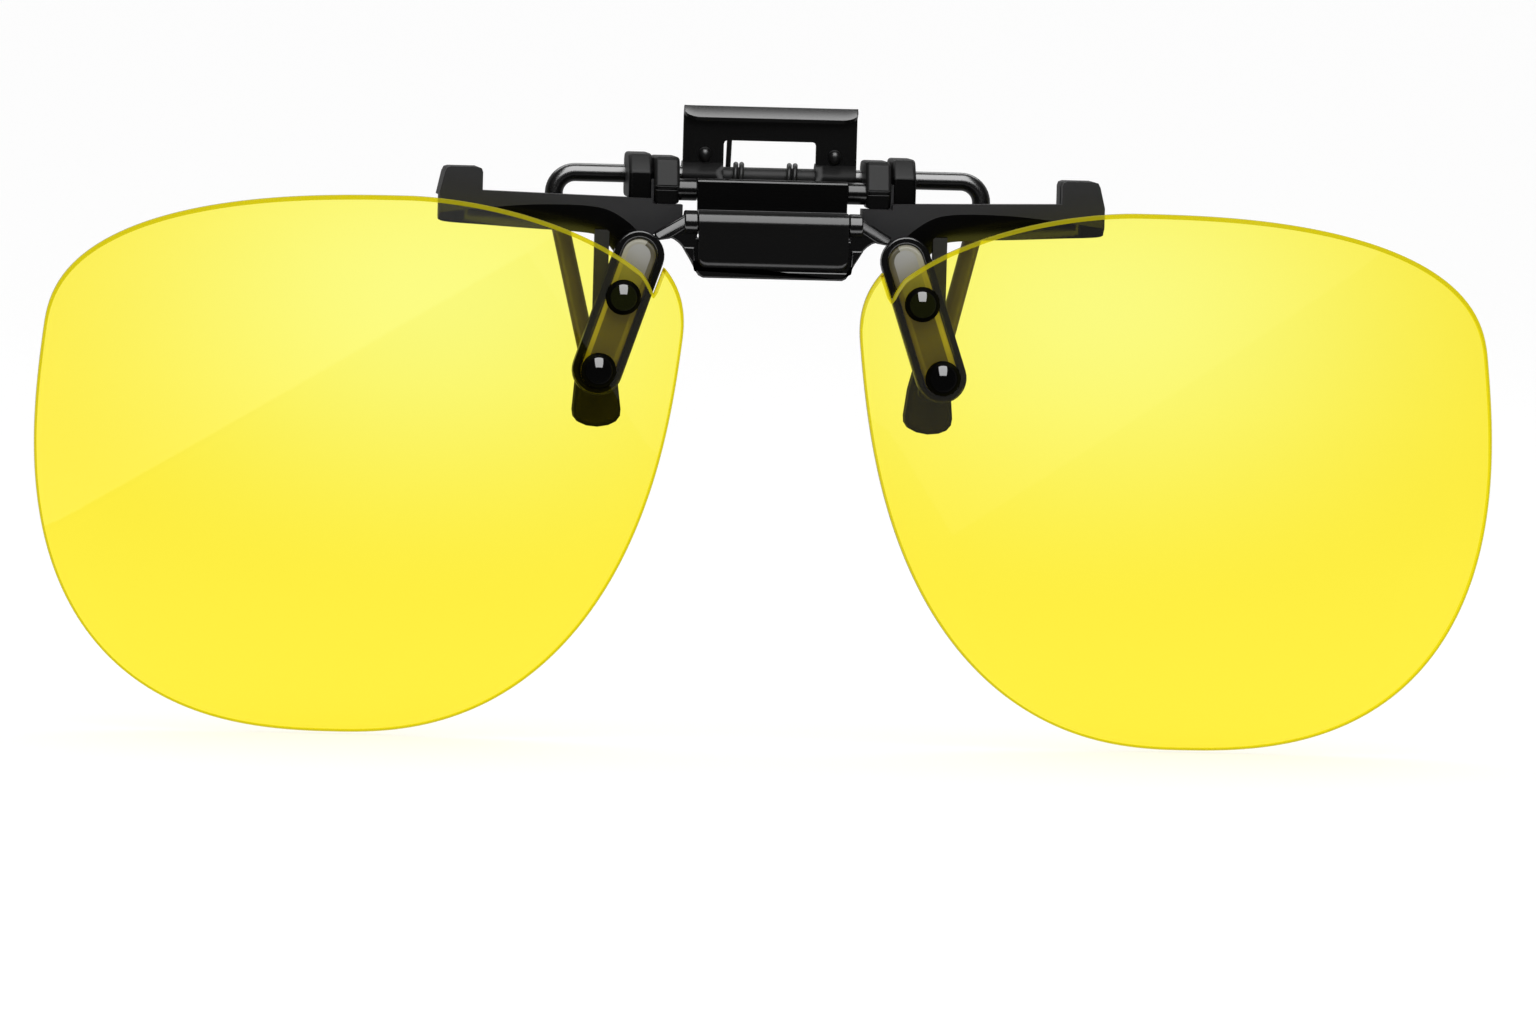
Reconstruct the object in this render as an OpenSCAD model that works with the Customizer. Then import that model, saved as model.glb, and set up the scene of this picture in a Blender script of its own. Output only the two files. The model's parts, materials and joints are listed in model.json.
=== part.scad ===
// Flip-up clip-on sunglasses: a sprung clamp that grips a pair of eyeglasses,
// and two rimless lenses on a hinged bridge in front of it.
// +X is across the face, -Y is the side that looks away from the face, +Z is up.
// The origin is midway between the four grip tips, where the eyeglass lenses are held.

/* [Lenses] */
// Half width from the lens's middle towards the nose
lens_in = 26.5; // [24:0.5:28]
// Half width from the lens's middle towards the temple
lens_out = 31; // [28:0.5:34]
// Height above the lens's widest line
lens_up = 12.7; // [11:0.1:15]
// Height below the lens's widest line
lens_down = 35.9; // [30:0.1:38]
// Distance of each lens's middle from the centre line
lens_x = 34.6; // [34:0.1:37]
// How far each lens leans inwards for each millimetre of height
lens_lean = 0.112; // [0:0.002:0.15]
// Thickness of the lens
lens_t = 1.1; // [0.8:0.1:1.5]
// Radius of the lens's gentle curve
lens_curve_r = 400; // [300:10:600]

/* [Clamp] */
// Height of the flip hinge above the grip tips
core_z = 19.5; // [18:0.5:24]
// Gap between the front and rear grip tips at rest
grip_gap = 2.2; // [2.1:0.1:3]
// Distance of the hook arms' outer ends from the centre line
hook_x = 30.2; // [29:0.1:34]
// Distance of the wire's legs from the centre line at the bend
leg_x = 19.45; // [18:0.05:22]
// Inward lean of the wire's legs in degrees
leg_lean = 13.6; // [10:0.1:16]
// Diameter of the leg wire
wire_d = 1.65; // [1.4:0.05:1.8]
// Width of the thumb lever's plate
lever_w = 15.8; // [15.2:0.1:16]

/* [Hinge] */
// Diameter of the shaft that the lenses flip on
core_d = 1.5; // [1.3:0.05:1.6]
// Diameter of the cross pin under it
pin_d = 1.4; // [1.2:0.05:1.5]
// Width of the folded cover
cover_w = 13.6; // [12:0.1:14]

/* [Hidden] */
$fn = 48;

// Depths, from the lenses at the front to the feet at the back
core_y = -1.5;
wire_y = 2.75;
pin_y = -3.9;
arm_front = -2.9;
arm_back = -0.6;
lens_arm_back = -3.3;
lens_arm_t = 1.5;
lens_arm_front = lens_arm_back - lens_arm_t;
lens_front = lens_arm_front - lens_t - 0.05;

// Heights, counted from the flip hinge
wire_z = 1.2;
pin_z = -2.95;

// Lens arm: a round-ended plate from its top to its lower rivet
pill_r = 2.27;
pill_top = [12.1, -6];
pill_low = [15.6, -16.4];
rivet_up = [13.55, -9.75];
rivet_low = pill_low;
lens_mid_z = -13.8;
rivet_head_r = 1.6;
rivet_head_h = 1.15;
rivet_shank_r = 0.6;
washer_r = 1.2;
washer_t = 0.35;

run = 0.05;
over = 0.02;

// Raises a piece from the flip hinge's height to its place above the origin
module lift() translate([0, 0, core_z]) children();

// Puts a right-hand piece on the left
module left() mirror([1, 0, 0]) children();

// Pushes a front-view outline (x, z) back from depth y0 to depth y1
module slab(y0, y1)
    translate([0, y1, 0]) rotate([90, 0, 0]) linear_extrude(y1 - y0) children();

// Pushes a side-view outline (y, z) across from x0 to x1
module strip(x0, x1)
    translate([x0, 0, 0]) rotate([90, 0, 90]) linear_extrude(x1 - x0) children();

// Rod along X from x0 to x1
module rod(r, x0, x1, y, z)
    translate([x0, y, z]) rotate([0, 90, 0]) cylinder(r = r, h = x1 - x0);

// Rod along Y at front-view place p
module stud(r, y0, y1, p)
    translate([p.x, y1, p.y]) rotate([90, 0, 0]) cylinder(r = r, h = y1 - y0);

// Front-view rectangle with rounded corners, from low to high
module round_box(low, high, r)
    translate(low + [r, r]) offset(r) square(high - low - [2 * r, 2 * r]);

// ---- Front clamp: stays on the eyeglasses ----

hook_top = 1.6;
hook_in = 26.3;
lug_in = 10.9;
lug_out = 13.05;
lug_top = 3.2;
lug_front = -2.4;
trunk_in = 8.15;
trunk_top = -1.35;
finger_w = 1.3;
finger_top = [15.3, -4];
finger_low = [15.35, -17.6];

// Front-view outline of the hook arm, from the trunk to the hook's outer end
module arm_outline()
    polygon([
        [trunk_in, trunk_top], [lug_in, trunk_top], [lug_in, -0.85], [hook_in, -0.5],
        [hook_x, -0.7], [hook_x, -3], [hook_x - 0.5, -3.4], [20, -3.95], [15.9, -4.2],
        [14.5, -5.3], [13.8, -6], [13, -5], [10.7, -3.85], [trunk_in, -2.6]
    ]);

// The arm's front face ends above a sweeping crease, and is chamfered below it
module crease_outline()
    polygon([
        [trunk_in, trunk_top], [lug_in, trunk_top], [lug_in, -0.85], [hook_in, -0.5],
        [hook_x, -0.8], [hook_x, -2.5], [26, -2.05], [22, -1.65], [18, -1.6],
        [14, -2], [12.4, -2.7], [10.7, -3.85], [trunk_in, -2.6]
    ]);

// Fixed finger that the front pad is pushed onto
module finger()
    slab(-grip_gap / 2 - 1.3, -grip_gap / 2 - 0.3)
        polygon([
            finger_top + [-finger_w / 2, 0.3], finger_top + [finger_w / 2, 0.3],
            finger_low + [finger_w / 2, 0], finger_low - [finger_w / 2, 0]
        ]);

// Hook tab that reaches back over the eyeglass rim
module hook()
    slab(arm_front, 2.6)
        polygon([
            [hook_in, -1.1], [hook_in, hook_top - 0.4], [hook_in + 0.4, hook_top],
            [hook_x - 1, hook_top], [hook_x - 0.6, hook_top - 0.4],
            [hook_x, -1.1]
        ]);

// Lug that the leg wire turns in
module lug()
    difference() {
        strip(lug_in, lug_out)
            polygon([
                [lug_front, -1.4], [lug_front, 2], [-0.9, lug_top - 0.15],
                [-0.5, lug_top], [4, lug_top], [4.5, lug_top - 0.5],
                [4.5, -0.4], [4, -0.9], [0, -0.9], [arm_back - over, -1.4]
            ]);
        rod(wire_d / 2 + run, lug_in - 1, lug_out + 1, wire_y, wire_z);
        // pocket for the core shaft's end
        rod(core_d / 2, lug_in - 1, core_end, core_y, 0);
    }

module hook_arm()
    lift() {
        slab(arm_front + 0.8, arm_back) arm_outline();
        slab(arm_front, arm_front + 0.8 + over) crease_outline();
        hook();
        finger();
        lug();
    }

module right_hook_arm() color([0.12, 0.12, 0.12]) hook_arm();
module left_hook_arm() color([0.12, 0.12, 0.12]) left() hook_arm();

// Rubber tip over the front finger
module front_pad()
    lift() difference() {
        slab(-grip_gap / 2 - 1.6, -grip_gap / 2)
            round_box(finger_low - [1.6, 1], finger_low + [1.6, 3.4], 0.7);
        finger();
    }

module right_front_pad() color([0.16, 0.16, 0.14]) front_pad();
module left_front_pad() color([0.16, 0.16, 0.14]) left() front_pad();

// Block between the lug and the lever plate: it ties the wire to the core shaft
block_in = 8.45;
block_out = 10.75;
block_top = 2.95;
core_end = 12.2;
boss_r = 1;

module hinge_block()
    lift() difference() {
        union() {
            strip(block_in, block_out)
                polygon([
                    [-3.1, 0.6], [-2.3, block_top - 0.2], [-1.9, block_top],
                    [3.9, block_top], [4.4, block_top - 0.5], [4.4, -0.3],
                    [3.9, -0.8], [0, -0.8], [-0.4, trunk_top + 0.05],
                    [-2.6, trunk_top + 0.05], [-2.6, 0.2]
                ]);
            // boss that keeps the cover's end off the block
            rod(boss_r, cover_w / 2 + run, block_in + 0.2, core_y, 0);
        }
        rod(wire_d / 2 + run, block_in - 1, block_out + 1, wire_y, wire_z);
        rod(core_d / 2, cover_w / 2 - 1, block_out + 1, core_y, 0);
    }

module right_hinge_block() color([0.2, 0.2, 0.2]) hinge_block();
module left_hinge_block() color([0.2, 0.2, 0.2]) left() hinge_block();

module core_shaft()
    color([0.3, 0.3, 0.3]) lift() difference() {
        rod(core_d / 2, -core_end, core_end, core_y, 0);
        // flat that the detent leaf snaps onto
        translate([-leaf_w / 2 - 0.2, core_y - 1, -1.6]) cube([leaf_w + 0.4, 2, 1]);
    }

// ---- Rear clamp: legs, thumb lever and spring, on one wire ----

bend_r = 1.9;
// The bends swell slightly, and the straight stretches reach a little way into them
bend_swell = 0.01;
bend_lap = 0.1;
foot_z = -19.1;
foot_top = -15.2;
foot_bottom = -22.4;
leg_turn = 90 + leg_lean;
// Where the leg starts below the bend, and its length to the middle of the foot
axle_end = leg_x - bend_r;
leg_start = [axle_end + bend_r * sin(leg_turn), -bend_r * (1 - cos(leg_turn))];
leg_len = (leg_start.y + wire_z - foot_z) / cos(leg_lean) - 0.5;
foot_x = leg_start.x - leg_len * sin(leg_lean);

// Bend and leg of the wire on the right, in the plane of the wire
module wire_leg()
    translate([0, wire_y, wire_z]) {
        translate([axle_end, 0, -bend_r]) rotate([90, 0, 0]) rotate([0, 0, -leg_lean])
            rotate_extrude(angle = leg_turn) translate([bend_r, 0]) circle(wire_d / 2 + bend_swell);
        translate([leg_start.x, 0, leg_start.y]) rotate([0, 180 + leg_lean, 0])
            translate([0, 0, -bend_lap]) cylinder(d = wire_d, h = leg_len + bend_lap);
    }

module leg_wire()
    color([0.1, 0.1, 0.1]) lift() {
        rod(wire_d / 2, -axle_end - bend_lap, axle_end + bend_lap, wire_y, wire_z);
        wire_leg();
        left() wire_leg();
    }

// Rubber tip, widest at its rounded lower end, with a flat gripping face
foot_w = 4.3;
foot_top_w = 3;
foot_lean = 2.5;
foot_front = grip_gap / 2;
foot_back = 2 * wire_y - foot_front;

module foot_outline()
    rotate([0, 0, -foot_lean]) difference() {
        polygon([
            [-foot_top_w / 2, foot_top - foot_z], [foot_top_w / 2, foot_top - foot_z],
            [foot_w / 2, -1.2], [foot_w / 2, foot_bottom - foot_z],
            [-foot_w / 2, foot_bottom - foot_z], [-foot_w / 2, -1.2]
        ]);
        // rounded lower end
        difference() {
            translate([-foot_w, -4]) square([2 * foot_w, 2.9]);
            translate([0, 0.2]) circle(2.9);
        }
    }

module rear_foot()
    lift() difference() {
        slab(foot_front, foot_back) translate([foot_x, foot_z]) foot_outline();
        wire_leg();
    }

module right_rear_foot() color([0.16, 0.16, 0.14]) rear_foot();
module left_rear_foot() color([0.16, 0.16, 0.14]) left() rear_foot();

// Thumb lever: curled round the wire at its foot, with a forward lip at its top
lever_t = 0.5;
lever_y = wire_y - 0.7;
lever_top = 7.6;
curl_r = wire_d / 2 + lever_t;
window_x = 4.2;
window_top = 4.45;
dimple_x = 5.9;
dimple_z = 3.2;
dimple_r = 0.65;

module lever_profile()
    difference() {
        union() {
            translate([wire_y, wire_z]) circle(curl_r);
            translate([lever_y - lever_t, wire_z]) square([lever_t, lever_top - 0.9 - wire_z]);
            // lip: bends forward over the top and slopes down to its edge
            polygon([
                [lever_y, lever_top - 0.9], [lever_y - 0.25, lever_top - 0.2],
                [lever_y - 0.75, lever_top], [lever_y - 1.8, lever_top - 1],
                [lever_y - 1.5, lever_top - 1.4], [lever_y - 0.75, lever_top - 0.6],
                [lever_y - lever_t, lever_top - 0.95]
            ]);
        }
        translate([wire_y, wire_z]) circle(wire_d / 2);
    }

module lever_plate()
    color([0.14, 0.14, 0.14]) lift() {
        difference() {
            strip(-lever_w / 2, lever_w / 2) lever_profile();
            translate([-window_x, wire_y - 3, wire_z - 2.5])
                cube([2 * window_x, 6, window_top + 2.5 - wire_z]);
        }
        for (side = [-1, 1]) intersection() {
            translate([side * dimple_x, lever_y - lever_t, dimple_z]) sphere(dimple_r);
            translate([side * dimple_x - 1, lever_y - lever_t - 1, dimple_z - 1])
                cube([2, 1 + over, 2]);
        }
    }

// Return spring: two small coils round the wire, joined behind it, and a leg up the lever
spring_d = 0.5;
coil_r = wire_d / 2 + 0.08 + spring_d / 2;
coil_x = [-2.9, 2.3];
coil_turns = 2;
spring_leg_x = -3.6;

module ring(x)
    translate([x, wire_y, wire_z]) rotate([0, 90, 0])
        rotate_extrude() translate([coil_r, 0]) circle(spring_d / 2);

module return_spring()
    color([0.35, 0.35, 0.35]) lift() {
        for (x = coil_x) for (turn = [0:coil_turns - 1])
            ring(x + (turn - 0.5) * (spring_d - over));
        rod(spring_d / 2, spring_leg_x, coil_x[1], wire_y + coil_r, wire_z);
        translate([spring_leg_x, wire_y + coil_r, wire_z])
            sphere(spring_d / 2);
        translate([spring_leg_x, wire_y + coil_r, wire_z])
            rotate([atan2(coil_r + 0.45, 4.2), 0, 0]) cylinder(d = spring_d, h = 4.2);
    }

// ---- Flip part: bridge, arms, cover and lenses ----

bridge_front = lens_arm_front;
cover_front = -5.05;
cover_t = 0.45;
ear_in = 7.75;
ear_out = 8.1;
barrel_in = cover_w / 2 + run;
barrel_r = 1.15;

module pill(r)
    hull() {
        translate(pill_top) circle(r);
        translate(pill_low) circle(r);
    }

// Right half of the bridge's front view
module bridge_half()
    polygon([
        [-over, -4.25], [barrel_in + 0.05, -4.25], [barrel_in + 0.05, -3.6],
        [ear_in, -3.6], [ear_in, -2.25], [ear_in + 0.2, -2.15],
        [10.7, -3.8], [10.7, -4.5], [9.8, -4.3], [9, -4.45], [8.2, -5.1],
        [7.4, -6.4], [6.7, -7.6], [6.3, -7.85], [-over, -7.85]
    ]);

module bridge_right()
    difference() {
        union() {
            slab(bridge_front, lens_arm_back) bridge_half();
            rod(barrel_r, barrel_in, ear_out, pin_y, pin_z);
        }
        slab(bridge_front - 1, lens_arm_back + 1) pill(pill_r);
        // room for the cover
        translate([-1, bridge_front - 1, -7.1])
            cube([cover_w / 2 + 1.1, cover_front + cover_t + 1 - bridge_front, 5]);
        rod(pin_d / 2, -1, ear_out + 1, pin_y, pin_z);
    }

module bridge()
    color([0.13, 0.13, 0.13]) lift() {
        bridge_right();
        left() bridge_right();
    }

recess_r = 1.62;
recess_deep = 0.55;

module lens_arm()
    lift() difference() {
        slab(lens_arm_front, lens_arm_back) pill(pill_r);
        slab(lens_arm_front - 1, lens_arm_front + recess_deep) pill(recess_r);
        stud(rivet_shank_r, lens_arm_front - 1, lens_arm_back + 1, rivet_up);
        stud(rivet_shank_r, lens_arm_front - 1, lens_arm_back + 1, rivet_low);
    }

module right_lens_arm() color([0.13, 0.13, 0.13]) lens_arm();
module left_lens_arm() color([0.13, 0.13, 0.13]) left() lens_arm();

// Cover: wraps the core shaft, steps forward over the cross pin and hangs down in front
sleeve_r = core_d / 2 + 0.3;

module cover_profile()
    difference() {
        union() {
            translate([core_y, 0]) circle(sleeve_r);
            translate([pin_y, pin_z]) circle(barrel_r);
            polygon([
                [core_y - sleeve_r, 0], [core_y - sleeve_r, -1], [core_y - 1.25, -1.6],
                [pin_y, pin_z + barrel_r], [pin_y + 0.6, pin_z + 0.9],
                [core_y - 0.75, -1.6], [core_y - 0.5, -0.6]
            ]);
            polygon([
                [cover_front, pin_z], [cover_front, -6.3], [cover_front + 0.1, -6.7],
                [cover_front + 0.28, -6.92], [cover_front + cover_t, -7],
                [cover_front + cover_t, pin_z]
            ]);
        }
        translate([core_y, 0]) circle(core_d / 2 + run);
        translate([pin_y, pin_z]) circle(pin_d / 2);
    }

module cover_sleeve()
    color([0.1, 0.1, 0.1]) lift() difference() {
        strip(-cover_w / 2, cover_w / 2) cover_profile();
        // slot for the detent leaf
        translate([-leaf_w / 2 - 0.1, core_y - 0.5, -2]) cube([leaf_w + 0.2, 1, 1.6]);
    }

module cross_pin()
    color([0.3, 0.3, 0.3]) lift()
        rod(pin_d / 2, -ear_out, ear_out, pin_y, pin_z);

// Detent leaf: riveted behind the bridge, its tip rides on the core shaft
leaf_w = 7;

module detent_leaf()
    color([0.45, 0.45, 0.45]) lift() strip(-leaf_w / 2, leaf_w / 2)
        polygon([
            [lens_arm_back, -7], [lens_arm_back, -4.5], [-2.6, -3.9], [-2.6, -2.2],
            [core_y - 0.2, -0.9], [core_y + 0.1, -0.9], [-2.35, -2.1],
            [-2.35, -4], [lens_arm_back + 0.25, -4.65], [lens_arm_back + 0.25, -7]
        ]);

// Lens outline: a rounded oval whose four quarters share one middle point
outline_steps = 24;
in_up = 1.8;
horn_up = 2.45;
out_up = 2.5;
out_down = 2.5;
in_down = 2.45;

function quarter(a, half_w, half_h, n) = [
    half_w * pow(cos(a), 2 / n), half_h * pow(sin(a), 2 / n)
];
function leaned(p) = [lens_x + p.x - lens_lean * p.y, lens_mid_z + p.y];
function steps(i) = 90 * (1 - cos(180 * i / outline_steps)) / 2;
function lens_outline(inner_up) = concat(
    [for (i = [0:outline_steps - 1])
        let (q = quarter(steps(i), lens_out, lens_up, out_up)) leaned(q)],
    [for (i = [0:outline_steps - 1])
        let (q = quarter(90 - steps(i), lens_in, lens_up, inner_up)) leaned([-q.x, q.y])],
    [for (i = [0:outline_steps - 1])
        let (q = quarter(steps(i), lens_in, lens_down, in_down)) leaned([-q.x, -q.y])],
    [for (i = [0:outline_steps - 1])
        let (q = quarter(90 - steps(i), lens_out, lens_down, out_down)) leaned([q.x, -q.y])]
);

// The lens is notched where the arm's neck comes through its edge
notch_from = [19, -2.5];
notch_knee = [12.2, -5.6];
notch_end = [10.8, -9.4];
horn_top = [9.55, -5.9];
notch_steps = 10;
function bezier(t) = (1 - t) * (1 - t) * notch_from + 2 * t * (1 - t) * notch_knee
    + t * t * notch_end;

module notch()
    polygon(concat(
        [for (i = [0:notch_steps]) bezier(i / notch_steps)],
        [horn_top, [9, -2]]
    ));

// Front view of the lens: it stands up fuller on the nose side of the notch
module lens_plan() {
    difference() {
        polygon(lens_outline(in_up));
        notch();
    }
    intersection() {
        polygon(lens_outline(horn_up));
        polygon([notch_end, horn_top, [6, horn_top.y], [6, lens_mid_z], [12, lens_mid_z]]);
    }
}

// Gently curved sheet whose nearest point is midway between the rivets
module curved_sheet()
    translate([(rivet_up.x + rivet_low.x) / 2, lens_front, (rivet_up.y + rivet_low.y) / 2])
        rotate([90, 0, 0]) translate([0, 0, -lens_curve_r])
            rotate_extrude($fn = 180) intersection() {
                difference() {
                    circle(lens_curve_r, $fn = 1800);
                    circle(lens_curve_r - lens_t, $fn = 1800);
                }
                translate([0, lens_curve_r - 12]) square([65, 13]);
            }

module lens()
    lift() difference() {
        intersection() {
            curved_sheet();
            slab(lens_front - 2, 12) lens_plan();
        }
        stud(rivet_shank_r + run, lens_front - 2, lens_arm_front + 1, rivet_up);
        stud(rivet_shank_r + run, lens_front - 2, lens_arm_front + 1, rivet_low);
    }

module right_lens() color([1, 0.92, 0.2, 0.6]) lens();
module left_lens() color([1, 0.92, 0.2, 0.6]) left() lens();

// Rivet: a domed head in front of the lens and a shank through to the washer
dome_r = (rivet_head_r * rivet_head_r + rivet_head_h * rivet_head_h) / (2 * rivet_head_h);

module rivet(p)
    lift() {
        intersection() {
            translate([p.x, lens_front - rivet_head_h + dome_r, p.y]) sphere(dome_r);
            stud(rivet_head_r + 1, lens_front - rivet_head_h - 1, lens_front, p);
        }
        stud(rivet_shank_r, lens_front - over, lens_arm_back + washer_t, p);
    }

module right_upper_rivet() color([0.1, 0.1, 0.05]) rivet(rivet_up);
module right_lower_rivet() color([0.05, 0.05, 0.05]) rivet(rivet_low);
module left_upper_rivet() color([0.1, 0.1, 0.05]) left() rivet(rivet_up);
module left_lower_rivet() color([0.05, 0.05, 0.05]) left() rivet(rivet_low);

module washers()
    lift() for (p = [rivet_up, rivet_low]) difference() {
        stud(washer_r, lens_arm_back, lens_arm_back + washer_t, p);
        stud(rivet_shank_r, lens_arm_back - 1, lens_arm_back + washer_t + 1, p);
    }

module right_washers() color([0.6, 0.6, 0.6]) washers();
module left_washers() color([0.6, 0.6, 0.6]) left() washers();

left_hook_arm();
right_hook_arm();
left_front_pad();
right_front_pad();
left_hinge_block();
right_hinge_block();
core_shaft();
leg_wire();
lever_plate();
return_spring();
left_rear_foot();
right_rear_foot();
bridge();
left_lens_arm();
right_lens_arm();
cover_sleeve();
cross_pin();
detent_leaf();
left_lens();
right_lens();
left_upper_rivet();
left_lower_rivet();
right_upper_rivet();
right_lower_rivet();
left_washers();
right_washers();
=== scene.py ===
import json
import math

import bmesh
import bpy
from mathutils import Matrix, Vector
from mathutils.geometry import delaunay_2d_cdt


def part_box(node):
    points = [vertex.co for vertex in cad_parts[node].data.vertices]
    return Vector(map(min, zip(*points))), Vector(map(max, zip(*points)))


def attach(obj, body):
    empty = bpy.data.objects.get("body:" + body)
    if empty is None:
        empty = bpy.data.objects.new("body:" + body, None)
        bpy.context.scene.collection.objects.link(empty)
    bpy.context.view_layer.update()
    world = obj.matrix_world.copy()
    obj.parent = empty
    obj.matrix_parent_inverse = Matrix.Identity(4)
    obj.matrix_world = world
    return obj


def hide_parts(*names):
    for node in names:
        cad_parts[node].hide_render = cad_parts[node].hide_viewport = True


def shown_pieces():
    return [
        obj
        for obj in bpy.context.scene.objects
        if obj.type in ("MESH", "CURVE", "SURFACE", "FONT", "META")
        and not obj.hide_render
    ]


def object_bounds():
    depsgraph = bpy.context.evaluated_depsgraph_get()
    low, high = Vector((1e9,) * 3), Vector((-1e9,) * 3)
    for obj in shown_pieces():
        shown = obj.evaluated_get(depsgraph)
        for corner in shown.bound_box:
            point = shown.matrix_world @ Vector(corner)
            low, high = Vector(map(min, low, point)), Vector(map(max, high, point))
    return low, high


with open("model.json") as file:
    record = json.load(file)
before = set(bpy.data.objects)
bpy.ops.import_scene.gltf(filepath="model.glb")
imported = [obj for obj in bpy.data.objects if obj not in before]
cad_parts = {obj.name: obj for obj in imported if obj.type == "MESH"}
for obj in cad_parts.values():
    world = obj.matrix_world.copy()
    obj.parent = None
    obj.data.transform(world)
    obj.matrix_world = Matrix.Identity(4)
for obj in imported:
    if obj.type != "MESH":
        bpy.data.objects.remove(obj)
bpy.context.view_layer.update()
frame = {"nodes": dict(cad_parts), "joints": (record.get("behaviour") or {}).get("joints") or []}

MM = 0.001
joints = {j["name"]: Vector(j["pos_m"]) for j in frame["joints"]}
core = joints["lens_flip"]
wire = joints["clamp_opening"]
FRONT, REAR, FLIP = "front_clamp", "rear_clamp", "flip_lenses"


def at(x, y, z):
    """A place in mm: x from the centre line, y from the grip tips, z from the flip hinge."""
    return Vector((x * MM, y * MM, core.z + z * MM))


# ---- Mesh helpers ----

def solid(name, shells):
    """One mesh from closed shells, each a list of loops with the same number of corners."""
    bm = bmesh.new()
    for loops in shells:
        rings = [[bm.verts.new(p) for p in loop] for loop in loops]
        for a, b in zip(rings, rings[1:]):
            for i in range(len(a)):
                j = (i + 1) % len(a)
                bm.faces.new((a[i], a[j], b[j], b[i]))
        bm.faces.new(rings[0][::-1])
        bm.faces.new(rings[-1])
    bmesh.ops.recalc_face_normals(bm, faces=bm.faces)
    return finish_mesh(name, bm)


def finish_mesh(name, bm, sharp=32):
    """An object from a bmesh, smooth but for edges sharper than an angle in degrees."""
    mesh = bpy.data.meshes.new(name)
    bm.to_mesh(mesh)
    bm.free()
    mesh.shade_smooth()
    mesh.set_sharp_from_angle(angle=math.radians(sharp))
    obj = bpy.data.objects.new(name, mesh)
    bpy.context.scene.collection.objects.link(obj)
    return obj


def angles(count):
    """Angles of a full turn in equal steps."""
    return [math.tau * k / count for k in range(count)]


def slab(outline, *depths):
    """Loops of a front-view outline (x, z) at several depths."""
    return [[at(x, y, z) for x, z in outline] for y in depths]


def strip(outline, *places):
    """Loops of a side-view outline (y, z) at several places across."""
    return [[at(x, y, z) for y, z in outline] for x in places]


def shrink(outline, by):
    """An outline moved inwards by a distance, corner by corner."""
    area = sum(a[0] * b[1] - b[0] * a[1] for a, b in zip(outline, outline[1:] + outline[:1]))
    by = by if area > 0 else -by
    moved = []
    for i, p in enumerate(outline):
        a, b = outline[i - 1], outline[(i + 1) % len(outline)]
        u = Vector((p[0] - a[0], p[1] - a[1])).normalized()
        v = Vector((b[0] - p[0], b[1] - p[1])).normalized()
        n = Vector((-(u.y + v.y), u.x + v.x)).normalized()
        reach = by / max(0.5, n.dot(Vector((-u.y, u.x))))
        moved.append((p[0] + n.x * reach, p[1] + n.y * reach))
    return moved


def soft_strip(outline, x0, x1, r, steps=4):
    """Like strip, with the edges at both ends rounded."""
    ends = [(r * (1 - math.sin(t)), r * (1 - math.cos(t)))
            for t in (math.pi / 2 * k / steps for k in range(steps + 1))]
    near = [(x0 + along, by) for by, along in ends]
    far = [(x1 - along, by) for by, along in ends[::-1]]
    return [[at(x, y, z) for y, z in shrink(outline, by)] for x, by in near + far]


def tube(path, r, sides=20):
    """Loops of a round section carried along a path of points in mm."""
    pts = [Vector(p) for p in path]
    loops = []
    normal = None
    for i, p in enumerate(pts):
        way = (pts[min(i + 1, len(pts) - 1)] - pts[max(i - 1, 0)]).normalized()
        if normal is None:
            normal = way.orthogonal().normalized()
        normal = (normal - way * normal.dot(way)).normalized()
        side = way.cross(normal)
        loops.append([
            at(*(p + r * (math.cos(t) * normal + math.sin(t) * side))) for t in angles(sides)
        ])
    return loops


def turned(centre, profile, sides):
    """Loops of a profile of (radius, depth) turned about a line that runs front to back."""
    return [
        [at(centre[0] + r * math.cos(t), y, centre[1] + r * math.sin(t)) for t in angles(sides)]
        for r, y in profile
    ]


def arc(centre, r, start, end, steps):
    """Points round a circle, angles in degrees."""
    return [
        (centre[0] + r * math.cos(math.radians(start + (end - start) * i / steps)),
         centre[1] + r * math.sin(math.radians(start + (end - start) * i / steps)))
        for i in range(steps + 1)
    ]


def smooth_line(points, steps=6):
    """A flowing line through points, each a tuple of any length."""
    ends = [points[0], *points, points[-1]]
    line = []
    for a, b, c, d in zip(ends, ends[1:], ends[2:], ends[3:]):
        for i in range(steps):
            t = i / steps
            line.append(tuple(
                0.5 * (2 * q + (r - p) * t + (2 * p - 5 * q + 4 * r - s) * t * t
                       + (3 * q - p - 3 * r + s) * t ** 3)
                for p, q, r, s in zip(a, b, c, d)
            ))
    return line + [tuple(points[-1])]


def sheet_line(line, t):
    """Closed side-view outline of bent sheet t thick that follows a line."""
    left, right = [], []
    for i, p in enumerate(line):
        a, b = line[max(i - 1, 0)], line[min(i + 1, len(line) - 1)]
        length = math.hypot(b[0] - a[0], b[1] - a[1])
        n = (-(b[1] - a[1]) / length * t / 2, (b[0] - a[0]) / length * t / 2)
        left.append((p[0] + n[0], p[1] + n[1]))
        right.append((p[0] - n[0], p[1] - n[1]))
    return left + right[::-1]


def cut(obj, tool):
    """Takes tool out of obj, and removes it."""
    m = obj.modifiers.new("cut", "BOOLEAN")
    m.operation, m.solver, m.object = "DIFFERENCE", "EXACT", tool
    bpy.context.view_layer.update()
    made = bpy.data.meshes.new_from_object(
        obj.evaluated_get(bpy.context.evaluated_depsgraph_get()))
    obj.modifiers.clear()
    obj.data = made
    bpy.data.objects.remove(tool)


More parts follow.
